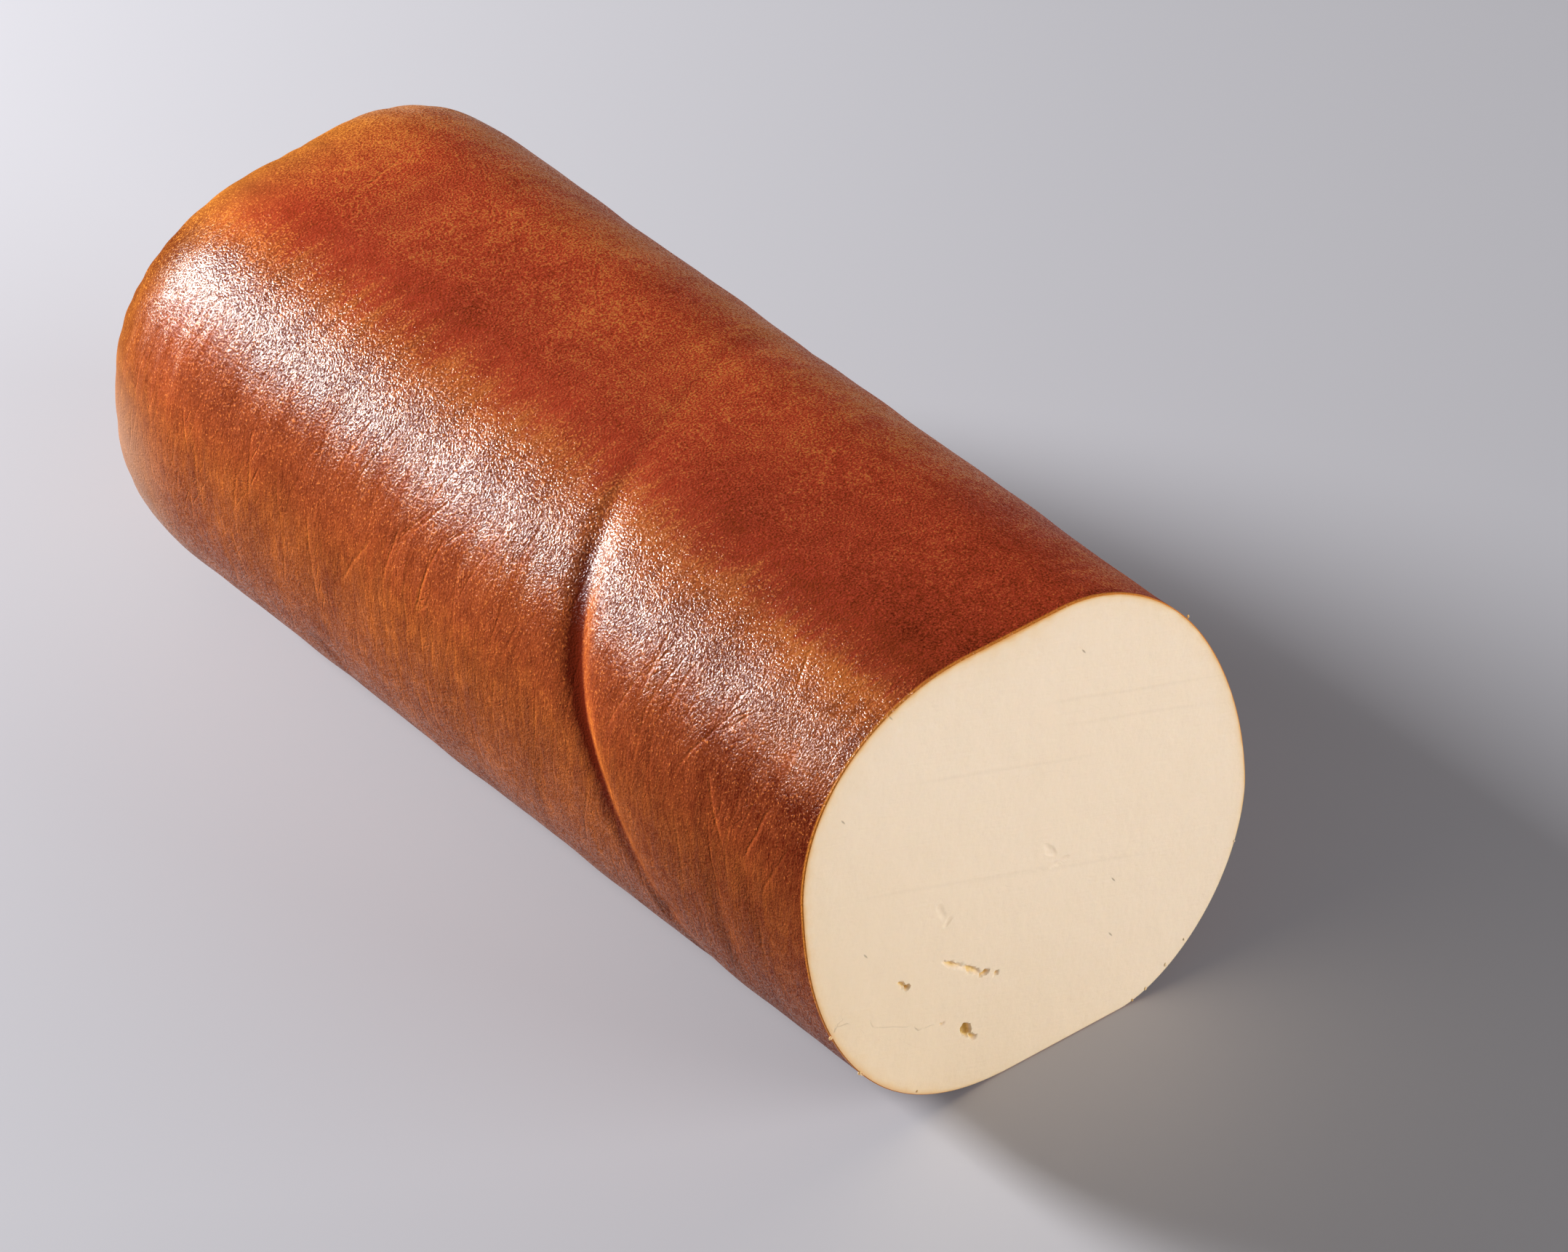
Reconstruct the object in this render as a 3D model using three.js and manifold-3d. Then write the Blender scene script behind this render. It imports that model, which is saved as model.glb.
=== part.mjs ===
// Smoked processed cheese: the half of a log that was set in a soft casing, smoked, and then cut across.
// It is one solid. It lies along X on a foot pressed flat by its own weight, with the cut face at +X
// and the rounded end of the casing at -X. A string left a slanted crease round the log.
// Millimetres, +Z up. The origin is under the middle of the log, on the surface that it rests on.
import * as THREE from "three";
import { mergeVertices } from "three/addons/utils/BufferGeometryUtils.js";
import Module from "manifold-3d";

const { degToRad, smoothstep, lerp } = THREE.MathUtils;

// Length, from the middle of the rounded end to the middle of the cut face, whose top leans back
const LOG_LENGTH = 244.4;
const CUT_LEAN = degToRad(4.6);

// Cross-section: two flats joined by four round corners, measured across (Y) and up (Z) from the foot
const HEIGHT = 100;
const MID_HEIGHT = HEIGHT / 2;
const TOP_FLAT = { left: -11.5, right: 10.5 };
const FOOT = { left: -6.5, right: 21.5 };
const LEFT_SIDE = { across: -56, up: 61 };
const RIGHT_SIDE = { across: 56, up: 39.5 };
// A corner of fullness 2 is a quarter of an ellipse; a higher number fills it out towards a square
const FULLNESS = { topRight: 2, topLeft: 2.1, footLeft: 2.3, footRight: 1.75 };
// Dents and waves fade out between these heights, so that the foot stays flat
const PRESSED = { from: 2, to: 14 };

// Rounded end: the skin turns in over the shoulder, longest at the upper left, and closes at the tip
const SHOULDER = { depth: 44.3, spread: 0.7, longestAt: degToRad(138), fullness: 4.5 };
const TIP = { across: 0, up: 40 };
const END_LEAN = { perAcross: -0.019, perUp: 0.1 };

// String crease: a slanted loop, worked out from the direction round the log, 0 at +Y and a quarter turn at +Z
const CREASE = { behindCut: 76, slant: 38.5, slantAt: degToRad(240), wobble: 5.6, wobbleAt: degToRad(99) };
// The valley lies in a broad dip on the far side and rises steeply on the cut side, behind which the log swells
const VALLEY = {
  depth: 0.2,
  deepest: 1.6,
  deepestAt: degToRad(155),
  reach: degToRad(40),
  farWidth: 5,
  cutWidth: 4.2,
};
const DIP = { share: 0.35, width: 28 };
const SWELLING = { share: 0.6, rise: 11, reach: 40 };

// Slow waves that the casing left along and round the log: height, length along X, turns round the log, start
const WAVES = [
  { height: 0.1, length: 74, turns: 2, start: 1.1 },
  { height: 0.08, length: 47, turns: -3, start: 0.4 },
];

// Openings in the cut face, by their middle, size and turn: a furrow and its nick, a hole and a crater
const PITS = [
  { across: -18, up: 29.8, long: 13, wide: 1.4, deep: 0.9, turn: degToRad(-38) },
  { across: -12.4, up: 25.7, long: 3.4, wide: 1.3, deep: 1.2, turn: degToRad(8) },
  { across: -32.6, up: 32.4, long: 3.6, wide: 1.2, deep: 1.2, turn: degToRad(-48) },
  { across: -17.6, up: 14.2, long: 4.6, wide: 2.4, deep: 1.7, turn: degToRad(-60) },
];

// Mesh fineness: points round the log, and lines along it
const AROUND = 84;
const LINES_TO_CUT = 10;
const LINES_TO_SHOULDER = 11;
const LINES_OVER_END = 15;
const CREASE_OFFSETS = [12, 9, 6.5, 4.6, 3.2, 2.1, 1.3, 0.6, 0, -1.2, -2.5, -4.2, -6.5, -9, -12];
const CREASE_REACH = CREASE_OFFSETS[0];

const CUT_X = LOG_LENGTH / 2;
const TIP_X = -LOG_LENGTH / 2;

// One rounded corner of the section, from the widest point of a side to the end of a flat
class Corner extends THREE.Curve {
  constructor(side, flatEnd, flatUp, fullness) {
    super();
    Object.assign(this, { side, flatEnd, flatUp, fullness });
  }
  getPoint(t, target = new THREE.Vector2()) {
    const turn = (t * Math.PI) / 2;
    const out = Math.max(Math.cos(turn), 0) ** (2 / this.fullness);
    const rise = Math.sin(turn) ** (2 / this.fullness);
    return target.set(
      lerp(this.flatEnd, this.side.across, out),
      lerp(this.side.up, this.flatUp, rise),
    );
  }
}

// The same corner run the other way, from the flat's end to the side
class CornerBack extends Corner {
  getPoint(t, target) {
    return super.getPoint(1 - t, target);
  }
}

// The section's points, evenly spaced round it, each with its outward direction and its direction round the log
function sectionPoints() {
  const section = new THREE.CurvePath();
  section.add(new Corner(RIGHT_SIDE, TOP_FLAT.right, HEIGHT, FULLNESS.topRight));
  section.add(
    new THREE.LineCurve(
      new THREE.Vector2(TOP_FLAT.right, HEIGHT),
      new THREE.Vector2(TOP_FLAT.left, HEIGHT),
    ),
  );
  section.add(new CornerBack(LEFT_SIDE, TOP_FLAT.left, HEIGHT, FULLNESS.topLeft));
  section.add(new Corner(LEFT_SIDE, FOOT.left, 0, FULLNESS.footLeft));
  section.add(new THREE.LineCurve(new THREE.Vector2(FOOT.left, 0), new THREE.Vector2(FOOT.right, 0)));
  section.add(new CornerBack(RIGHT_SIDE, FOOT.right, 0, FULLNESS.footRight));
  const points = section.getSpacedPoints(AROUND).slice(0, AROUND);
  return points.map((point, i) => {
    const before = points[(i + AROUND - 1) % AROUND];
    const after = points[(i + 1) % AROUND];
    const along = after.clone().sub(before).normalize();
    return {
      across: point.x,
      up: point.y,
      outAcross: along.y,
      outUp: -along.x,
      round: Math.atan2(point.y - MID_HEIGHT, point.x),
    };
  });
}

// Where the plane of the cut crosses the log at a given height
function cutAt(up) {
  return CUT_X - Math.tan(CUT_LEAN) * (up - MID_HEIGHT);
}

// Where the bottom of the crease crosses the log in a given direction
function creaseAt(round) {
  return (
    CUT_X -
    CREASE.behindCut +
    CREASE.slant * Math.cos(round - CREASE.slantAt) +
    CREASE.wobble * Math.cos(2 * (round - CREASE.wobbleAt))
  );
}

// The smaller angle between two directions round the log
function turnBetween(a, b) {
  return Math.abs(Math.atan2(Math.sin(a - b), Math.cos(a - b)));
}

function bell(distance, width) {
  return Math.exp(-((distance / width) ** 2));
}

// How far the skin stands out from (or sinks below) the plain section at x
function relief(spot, x) {
  const fromCrease = x - creaseAt(spot.round);
  const depth = VALLEY.depth + VALLEY.deepest * bell(turnBetween(spot.round, VALLEY.deepestAt), VALLEY.reach);
  const farSide = lerp(bell(fromCrease, VALLEY.farWidth), bell(fromCrease, DIP.width), DIP.share);
  const valley = fromCrease < 0 ? farSide : bell(fromCrease, VALLEY.cutWidth);
  const behind = Math.max(fromCrease, 0);
  const swelling = SWELLING.share * (1 - bell(behind, SWELLING.rise)) * bell(behind, SWELLING.reach);
  const waves = WAVES.reduce(
    (sum, wave) =>
      sum + wave.height * Math.sin((2 * Math.PI * x) / wave.length + wave.turns * spot.round + wave.start),
    0,
  );
  return ((swelling - valley) * depth + waves) * smoothstep(spot.up, PRESSED.from, PRESSED.to);
}

// A point of the skin between the cut and the shoulder
function barrelPoint(spot, x) {
  const out = relief(spot, x);
  return [x, spot.across + out * spot.outAcross, spot.up + out * spot.outUp];
}

// A point of the rounded end: turn is 0 on the shoulder and a quarter turn at the tip
function endPoint(spot, turn) {
  const share = Math.max(Math.cos(turn), 0) ** (2 / SHOULDER.fullness);
  const inward = 1 - Math.sin(turn) ** (2 / SHOULDER.fullness);
  const depth = SHOULDER.depth * (1 + SHOULDER.spread * Math.cos(spot.round - SHOULDER.longestAt));
  const across = lerp(TIP.across, spot.across, share);
  const up = lerp(TIP.up, spot.up, share);
  const lean = END_LEAN.perAcross * across + END_LEAN.perUp * (up - MID_HEIGHT);
  const x = TIP_X + depth * inward + lean;
  const out = relief(spot, x) * share;
  return [x, across + out * spot.outAcross, up + out * spot.outUp];
}

// The lines that run round the log, from the cut edge to the last one before the tip
function logLines(spots) {
  const lines = [];
  for (let i = 0; i < LINES_TO_CUT; i++) {
    const share = i / LINES_TO_CUT;
    lines.push(
      spots.map((s) => barrelPoint(s, lerp(cutAt(s.up), creaseAt(s.round) + CREASE_REACH, share))),
    );
  }
  for (const offset of CREASE_OFFSETS) {
    lines.push(spots.map((s) => barrelPoint(s, creaseAt(s.round) + offset)));
  }
  for (let i = 1; i <= LINES_TO_SHOULDER; i++) {
    const share = i / LINES_TO_SHOULDER;
    lines.push(
      spots.map((s) => barrelPoint(s, lerp(creaseAt(s.round) - CREASE_REACH, endPoint(s, 0)[0], share))),
    );
  }
  for (let i = 1; i < LINES_OVER_END; i++) {
    const turn = (Math.PI / 4) * (1 - Math.cos((Math.PI * i) / LINES_OVER_END));
    lines.push(spots.map((s) => endPoint(s, turn)));
  }
  return lines;
}

// The whole log without its pits: the lines joined by triangles, closed by the flat cut face and the tip
function logGeometry() {
  const spots = sectionPoints();
  const lines = logLines(spots);
  const positions = lines.flat(2);
  const cutMiddle = lines.length * AROUND;
  positions.push(cutAt(MID_HEIGHT), 0, MID_HEIGHT);
  const tip = cutMiddle + 1;
  positions.push(...endPoint(spots[0], Math.PI / 2));
  const triangles = [];
  for (let i = 0; i < AROUND; i++) {
    const next = (i + 1) % AROUND;
    triangles.push(cutMiddle, i, next);
    for (let line = 0; line + 1 < lines.length; line++) {
      const here = line * AROUND;
      const there = here + AROUND;
      triangles.push(here + i, there + i, there + next);
      triangles.push(here + i, there + next, here + next);
    }
    const last = (lines.length - 1) * AROUND;
    triangles.push(last + i, tip, last + next);
  }
  const geometry = new THREE.BufferGeometry();
  geometry.setAttribute("position", new THREE.Float32BufferAttribute(positions, 3));
  geometry.setIndex(triangles);
  return geometry;
}

// One pit as an ellipsoid whose middle lies on the cut face
function pitGeometry({ across, up, long, wide, deep, turn }) {
  return new THREE.SphereGeometry(1, 10, 6)
    .scale(deep, long / 2, wide / 2)
    .rotateX(turn)
    .rotateY(-CUT_LEAN)
    .translate(cutAt(up), across, up);
}

const wasm = await Module();
wasm.setup();

// A closed geometry as a solid that can be cut
function solidOf(geometry) {
  geometry.deleteAttribute("normal");
  geometry.deleteAttribute("uv");
  const merged = mergeVertices(geometry);
  return new wasm.Manifold(
    new wasm.Mesh({
      numProp: 3,
      vertProperties: merged.attributes.position.array,
      triVerts: new Uint32Array(merged.index.array),
    }),
  );
}

// The log with its pits cut out, moved so that its foot is centred on the origin
function cheeseGeometry() {
  const cheese = PITS.reduce((log, pit) => log.subtract(solidOf(pitGeometry(pit))), solidOf(logGeometry()));
  const { vertProperties, triVerts } = cheese.getMesh();
  const geometry = new THREE.BufferGeometry();
  geometry.setAttribute("position", new THREE.BufferAttribute(vertProperties, 3));
  geometry.setIndex(new THREE.BufferAttribute(triVerts, 1));
  geometry.computeBoundingBox();
  const { min, max } = geometry.boundingBox;
  geometry.translate(-(min.x + max.x) / 2, -(min.y + max.y) / 2, -min.z);
  geometry.computeVertexNormals();
  return geometry;
}

const smokedSkin = new THREE.MeshStandardMaterial({ color: 0xb4551f, roughness: 0.42, metalness: 0 });
const cheeseLog = new THREE.Mesh(cheeseGeometry(), smokedSkin);
cheeseLog.name = "cheese_log";

const smokedCheese = new THREE.Group();
smokedCheese.name = "smoked_cheese";
smokedCheese.add(cheeseLog);

export default smokedCheese;
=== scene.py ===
import math

import bmesh
import bpy
import numpy as np
from mathutils import Matrix, Vector, kdtree, noise


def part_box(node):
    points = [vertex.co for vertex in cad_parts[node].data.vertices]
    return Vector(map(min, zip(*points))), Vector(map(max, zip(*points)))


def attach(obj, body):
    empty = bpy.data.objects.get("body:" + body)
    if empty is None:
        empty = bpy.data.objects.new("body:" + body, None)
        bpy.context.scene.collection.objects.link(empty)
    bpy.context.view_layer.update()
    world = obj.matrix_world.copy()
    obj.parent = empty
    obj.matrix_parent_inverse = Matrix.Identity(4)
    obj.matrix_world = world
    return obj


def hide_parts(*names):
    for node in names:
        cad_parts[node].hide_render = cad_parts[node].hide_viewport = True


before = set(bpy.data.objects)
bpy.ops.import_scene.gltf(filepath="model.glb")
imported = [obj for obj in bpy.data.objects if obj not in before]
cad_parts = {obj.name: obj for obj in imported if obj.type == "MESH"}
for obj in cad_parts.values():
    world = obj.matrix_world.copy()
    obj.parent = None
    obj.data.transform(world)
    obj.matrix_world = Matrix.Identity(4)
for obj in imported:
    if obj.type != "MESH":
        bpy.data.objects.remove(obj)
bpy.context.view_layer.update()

# The log: half of a processed cheese that was set in a soft casing, smoked until it had a brown skin, and cut
# across with a knife. It lies along X on a foot pressed flat by its own weight, with the cut face at +X.
# A string round the casing left the slanted crease. Sizes are millimetres until the mesh is finished.
MM = 0.001
LOG_LENGTH = 244.4
CUT_LEAN = math.radians(4.6)
CUT_X = LOG_LENGTH / 2
TIP_X = -LOG_LENGTH / 2
HEIGHT = 100
MID_HEIGHT = HEIGHT / 2
TOP_LEFT, TOP_RIGHT = -11.5, 10.5
FOOT_LEFT, FOOT_RIGHT = -6.5, 21.5
LEFT_SIDE = (-56, 61)
RIGHT_SIDE = (56, 39.5)
POINTS_ROUND = 300


def smoothstep(value, low, high):
    share = np.clip((value - low) / (high - low), 0, 1)
    return share * share * (3 - 2 * share)


def bell(distance, width):
    return np.exp(-((distance / width) ** 2))


def rounded_corner(side, flat_end, flat_up, fullness):
    """A quarter of the section, from the widest point of a side to the end of a flat."""
    turn = np.linspace(0, math.pi / 2, 400)
    out = np.clip(np.cos(turn), 0, 1) ** (2 / fullness)
    rise = np.sin(turn) ** (2 / fullness)
    across = flat_end + (side[0] - flat_end) * out
    up = side[1] + (flat_up - side[1]) * rise
    return np.stack([across, up], 1)


def casing_section():
    """The log's outline seen from the cut, as evenly spaced points from the right side over to the left."""
    outline = np.concatenate([
        rounded_corner(RIGHT_SIDE, TOP_RIGHT, HEIGHT, 2.0),
        rounded_corner(LEFT_SIDE, TOP_LEFT, HEIGHT, 2.1)[::-1],
        rounded_corner(LEFT_SIDE, FOOT_LEFT, 0, 2.3),
        rounded_corner(RIGHT_SIDE, FOOT_RIGHT, 0, 1.75)[::-1],
    ])
    steps = np.linalg.norm(np.diff(outline, axis=0), axis=1)
    along = np.concatenate([[0], np.cumsum(steps)])
    places = np.linspace(0, along[-1], POINTS_ROUND, endpoint=False)
    return np.stack([np.interp(places, along, outline[:, k]) for k in (0, 1)], 1)


spots = casing_section()
spot_across, spot_up = spots[:, 0], spots[:, 1]
spot_edge = np.roll(spots, -1, axis=0) - np.roll(spots, 1, axis=0)
spot_edge /= np.linalg.norm(spot_edge, axis=1)[:, None]
spot_out = np.stack([spot_edge[:, 1], -spot_edge[:, 0]], 1)
spot_round = np.arctan2(spot_up - MID_HEIGHT, spot_across)

# The string's crease: a slanted loop, with a valley that lies in a broad dip on the far side and rises
# steeply on the cut side, behind which the log swells
CREASE_BEHIND_CUT = 76
CREASE_SLANT, CREASE_SLANT_AT = 38.5, math.radians(240)
CREASE_WOBBLE, CREASE_WOBBLE_AT = 5.6, math.radians(99)
VALLEY_DEPTH, VALLEY_DEEPEST = 0.2, 1.6
VALLEY_DEEPEST_AT = math.radians(155)
VALLEY_REACH_UP, VALLEY_REACH_DOWN = math.radians(25), math.radians(40)
VALLEY_FAR_WIDEST, VALLEY_FAR_NARROWEST, VALLEY_CUT_WIDTH = 3.9, 2.0, 4.2
DIP_SHARE, DIP_WIDTH = 0.35, 28
SWELLING_SHARE, SWELLING_RISE, SWELLING_REACH = 0.6, 11, 40
# Slow waves that the casing left: height, length along X, turns round the log, start
CASING_WAVES = [(0.1, 74, 2, 1.1), (0.08, 47, -3, 0.4), (0.05, 23, 5, 2.0), (0.035, 15, -8, 0.9)]
# Dents and waves fade out between these heights, so that the foot stays flat
PRESSED_FROM, PRESSED_TO = 2, 14
# Folds pressed in by the casing on the left side: each end by its x and its degrees from the top, then the
# width and the depth
SIDE_FOLDS = [
    ((93.7, 84), (98.2, 117), 2.6, 0.45),
    ((101.5, 74), (111.5, 100), 2.4, 0.25),
    ((70, 116), (78, 108), 2.4, 0.5),
    ((-41, 112), (-33, 120), 2.6, 0.5),
    ((-9, 70), (-3, 58), 2.2, 0.16),
    ((-35, 72), (-34, 99), 2.2, 0.14),
    ((-16, 69), (-26, 86), 2.4, 0.14),
    ((-55.5, 64), (-55, 82), 2.2, 0.12),
    ((40, 90), (36, 112), 2.6, 0.2),
    ((12, 84), (15, 106), 2.4, 0.15),
]
# Puckers where the casing was gathered round the far end, seen on the upper left
NAMED_PUCKERS = [
    ((-119, 58), (-97, 55), 2.0, 0.5),
    ((-118, 73), (-94, 63), 2.2, 0.4),
    ((-118, 43), (-95, 40), 2.2, 0.3),
    ((-119, 64), (-104, 61), 1.8, 0.35),
    ((-119, 50), (-106, 48), 1.8, 0.3),
]
# More puckers, spread over the rest of the end
PUCKER_COUNT, PUCKERS_FROM, PUCKERS_SPREAD = 30, 80, 320
PUCKER_OUTER_X = -119
pucker_draw = np.random.default_rng(7)
end_puckers = list(NAMED_PUCKERS)
for number in range(PUCKER_COUNT):
    share = (number + pucker_draw.uniform(-0.35, 0.35)) / PUCKER_COUNT
    degrees = PUCKERS_FROM + PUCKERS_SPREAD * share
    inner_end = pucker_draw.uniform(-106, -92)
    lean = pucker_draw.uniform(-5, 5)
    width = pucker_draw.uniform(1.8, 2.6)
    depth = pucker_draw.uniform(0.1, 0.35)
    end_puckers.append(((PUCKER_OUTER_X, degrees), (inner_end, degrees + lean), width, depth))

crease_x = (
    CUT_X
    - CREASE_BEHIND_CUT
    + CREASE_SLANT * np.cos(spot_round - CREASE_SLANT_AT)
    + CREASE_WOBBLE * np.cos(2 * (spot_round - CREASE_WOBBLE_AT))
)
cut_x = CUT_X - math.tan(CUT_LEAN) * (spot_up - MID_HEIGHT)
turn_from_deepest = (spot_round - VALLEY_DEEPEST_AT + math.pi) % (2 * math.pi) - math.pi
valley_reach = np.where(turn_from_deepest < 0, VALLEY_REACH_UP, VALLEY_REACH_DOWN)
crease_depth = VALLEY_DEPTH + VALLEY_DEEPEST * bell(turn_from_deepest, valley_reach)
valley_spread = (VALLEY_FAR_WIDEST - VALLEY_FAR_NARROWEST) * bell(turn_from_deepest, valley_reach)
valley_far_width = VALLEY_FAR_NARROWEST + valley_spread
foot_fade = smoothstep(spot_up, PRESSED_FROM, PRESSED_TO)
spot_degrees = np.degrees(np.arctan2(-spot_across, spot_up - MID_HEIGHT))
# The skin that one degree round the log takes up
MM_PER_DEGREE = 0.96


def crease_relief(x):
    from_crease = x - crease_x
    far_valley = (1 - DIP_SHARE) * bell(from_crease, valley_far_width)
    far_side = far_valley + DIP_SHARE * bell(from_crease, DIP_WIDTH)
    valley = np.where(from_crease < 0, far_side, bell(from_crease, VALLEY_CUT_WIDTH))
    behind = np.clip(from_crease, 0, None)
    swelling = SWELLING_SHARE * (1 - bell(behind, SWELLING_RISE)) * bell(behind, SWELLING_REACH)
    return (swelling - valley) * crease_depth


def fold_relief(x, folds):
    """How deep the folds are at each point of a line: each is a straight dent that fades out at its ends."""
    depth_here = np.zeros(POINTS_ROUND)
    for (start_x, start_turn), (end_x, end_turn), width, depth in folds:
        reach_x, reach_round = end_x - start_x, (end_turn - start_turn) * MM_PER_DEGREE
        off_x = x - start_x
        off_round = ((spot_degrees - start_turn + 180) % 360 - 180) * MM_PER_DEGREE
        share = np.clip((off_x * reach_x + off_round * reach_round) / (reach_x**2 + reach_round**2), 0, 1)
        gap = np.hypot(off_x - share * reach_x, off_round - share * reach_round)
        depth_here += depth * bell(gap, width) * np.sqrt(4 * share * (1 - share))
    return depth_here


def skin_relief(x):
    """How far each point of one line round the log stands out from the plain section."""
    waves = sum(
        height * np.sin(2 * math.pi * x / length + turns * spot_round + start)
        for height, length, turns, start in CASING_WAVES
    )
    folds = fold_relief(x, SIDE_FOLDS) + fold_relief(x, end_puckers)
    return (crease_relief(x) + waves - folds) * foot_fade


# The rounded end: the skin turns in over a shoulder that is longest at the upper left, and closes at the tip
SHOULDER_DEPTH, SHOULDER_SPREAD, SHOULDER_LONGEST_AT = 44.3, 0.7, math.radians(138)
SHOULDER_FULLNESS = 4.5
TIP_ACROSS, TIP_UP = 0, 40
END_LEAN_ACROSS, END_LEAN_UP = -0.019, 0.1


def end_line(turn):
    """One line round the end: turn is 0 on the shoulder and a quarter turn at the tip."""
    share = max(math.cos(turn), 0) ** (2 / SHOULDER_FULLNESS)
    inward = 1 - math.sin(turn) ** (2 / SHOULDER_FULLNESS)
    depth = SHOULDER_DEPTH * (1 + SHOULDER_SPREAD * np.cos(spot_round - SHOULDER_LONGEST_AT))
    across = TIP_ACROSS + (spot_across - TIP_ACROSS) * share
    up = TIP_UP + (spot_up - TIP_UP) * share
    x = TIP_X + depth * inward + END_LEAN_ACROSS * across + END_LEAN_UP * (up - MID_HEIGHT)
    out = skin_relief(x) * share
    return np.stack([x, across + out * spot_out[:, 0], up + out * spot_out[:, 1]], 1)


def barrel_line(x):
    out = skin_relief(x)
    return np.stack([x, spot_across + out * spot_out[:, 0], spot_up + out * spot_out[:, 1]], 1)


# The lines that run round the log, from the cut edge to the tip, closer together beside the crease
LINES_TO_CREASE = 58
LINES_TO_SHOULDER = 80
LINES_OVER_END = 78
CREASE_REACH = 12
CREASE_LINES = 37
EDGE_ROUNDING = 0.2

skin_lines = []
for step in range(LINES_TO_CREASE):
    share = step / LINES_TO_CREASE
    skin_lines.append(barrel_line((cut_x - EDGE_ROUNDING) * (1 - share) + (crease_x + CREASE_REACH) * share))
for step in range(CREASE_LINES):
    across_crease = 1 - 2 * step / (CREASE_LINES - 1)
    offset = CREASE_REACH * (0.45 * across_crease + 0.55 * across_crease**3)
    skin_lines.append(barrel_line(crease_x + offset))
shoulder_x = end_line(0)[:, 0]
for step in range(1, LINES_TO_SHOULDER + 1):
    share = step / LINES_TO_SHOULDER
    skin_lines.append(barrel_line((crease_x - CREASE_REACH) * (1 - share) + shoulder_x * share))
for step in range(1, LINES_OVER_END + 1):
    skin_lines.append(end_line(math.pi / 4 * (1 - math.cos(math.pi * step / LINES_OVER_END))))
skin_points = np.array(skin_lines)
line_count = len(skin_lines)

# A tube with one edge loop for each line, pulled into the log's form
FIRST_CUTS, SECOND_CUTS = 11, 20
bpy.ops.object.select_all(action="DESELECT")
bpy.ops.mesh.primitive_cylinder_add(
    vertices=POINTS_ROUND,
    radius=MID_HEIGHT * MM,
    depth=LOG_LENGTH * MM,
    end_fill_type="NOTHING",
    location=(0, 0, MID_HEIGHT * MM),
    rotation=(0, math.pi / 2, 0),
)
log = bpy.context.object
log.name = "smoked_cheese_log"
bpy.ops.object.transform_apply(location=True, rotation=True, scale=True)
bpy.ops.object.mode_set(mode="EDIT")
bpy.ops.mesh.select_mode(type="EDGE")
for cuts in (FIRST_CUTS, SECOND_CUTS):
    bpy.ops.mesh.select_all(action="DESELECT")
    tube = bmesh.from_edit_mesh(log.data)
    for edge in tube.edges:
        edge.select = abs(edge.verts[0].co.x - edge.verts[1].co.x) > 0.1 * MM
    bmesh.update_edit_mesh(log.data)
    bpy.ops.mesh.subdivide(number_cuts=cuts)
bpy.ops.object.mode_set(mode="OBJECT")

tube_points = np.array([v.co for v in log.data.vertices]) / MM
line_of = np.rint((CUT_X - tube_points[:, 0]) / LOG_LENGTH * (line_count - 1)).astype(int)
turn_of = np.arctan2(tube_points[:, 2] - MID_HEIGHT, tube_points[:, 1]) / (2 * math.pi)
spot_of = np.rint(turn_of * POINTS_ROUND).astype(int) % POINTS_ROUND
log.data.vertices.foreach_set("co", (skin_points[line_of, spot_of] * MM).ravel())
log.data.update()

# The tip is drawn together, and the open edge is extruded inwards in rings to make the cut face
RIM_INSETS = [0.2, 0.5, 0.9, 1.4, 1.9, 2.5, 3.2, 4.0, 5.0]
FACE_RING_WIDTH = 1.25
FACE_RADIUS = 52
CUT_MIDDLE = Vector((CUT_X, 0, MID_HEIGHT)) * MM
face_insets = RIM_INSETS + list(np.arange(RIM_INSETS[-1] + FACE_RING_WIDTH, FACE_RADIUS - 1, FACE_RING_WIDTH))

bpy.ops.object.mode_set(mode="EDIT")
bpy.ops.mesh.select_mode(type="VERT")
bpy.ops.mesh.select_all(action="DESELECT")
shell = bmesh.from_edit_mesh(log.data)
for vertex in shell.verts:
    vertex.select = bool(line_of[vertex.index] == line_count - 1)
bmesh.update_edit_mesh(log.data)
bpy.ops.mesh.merge(type="CENTER")
bpy.ops.mesh.select_mode(type="EDGE")
bpy.ops.mesh.select_all(action="DESELECT")
shell = bmesh.from_edit_mesh(log.data)
for edge in shell.edges:
    edge.select = edge.is_boundary
bmesh.update_edit_mesh(log.data)
bpy.ops.mesh.extrude_edges_move(TRANSFORM_OT_translate={"value": (EDGE_ROUNDING * MM, 0, 0)})
inset_before = 0
for ring, inset in enumerate(face_insets):
    if ring > 0:
        bpy.ops.mesh.extrude_edges_move()
    shrink = (FACE_RADIUS - inset) / (FACE_RADIUS - inset_before)
    bpy.ops.transform.resize(value=(shrink, shrink, shrink), center_override=CUT_MIDDLE)
    inset_before = inset
bpy.ops.mesh.select_mode(type="VERT")
bpy.ops.mesh.merge(type="CENTER")

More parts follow.
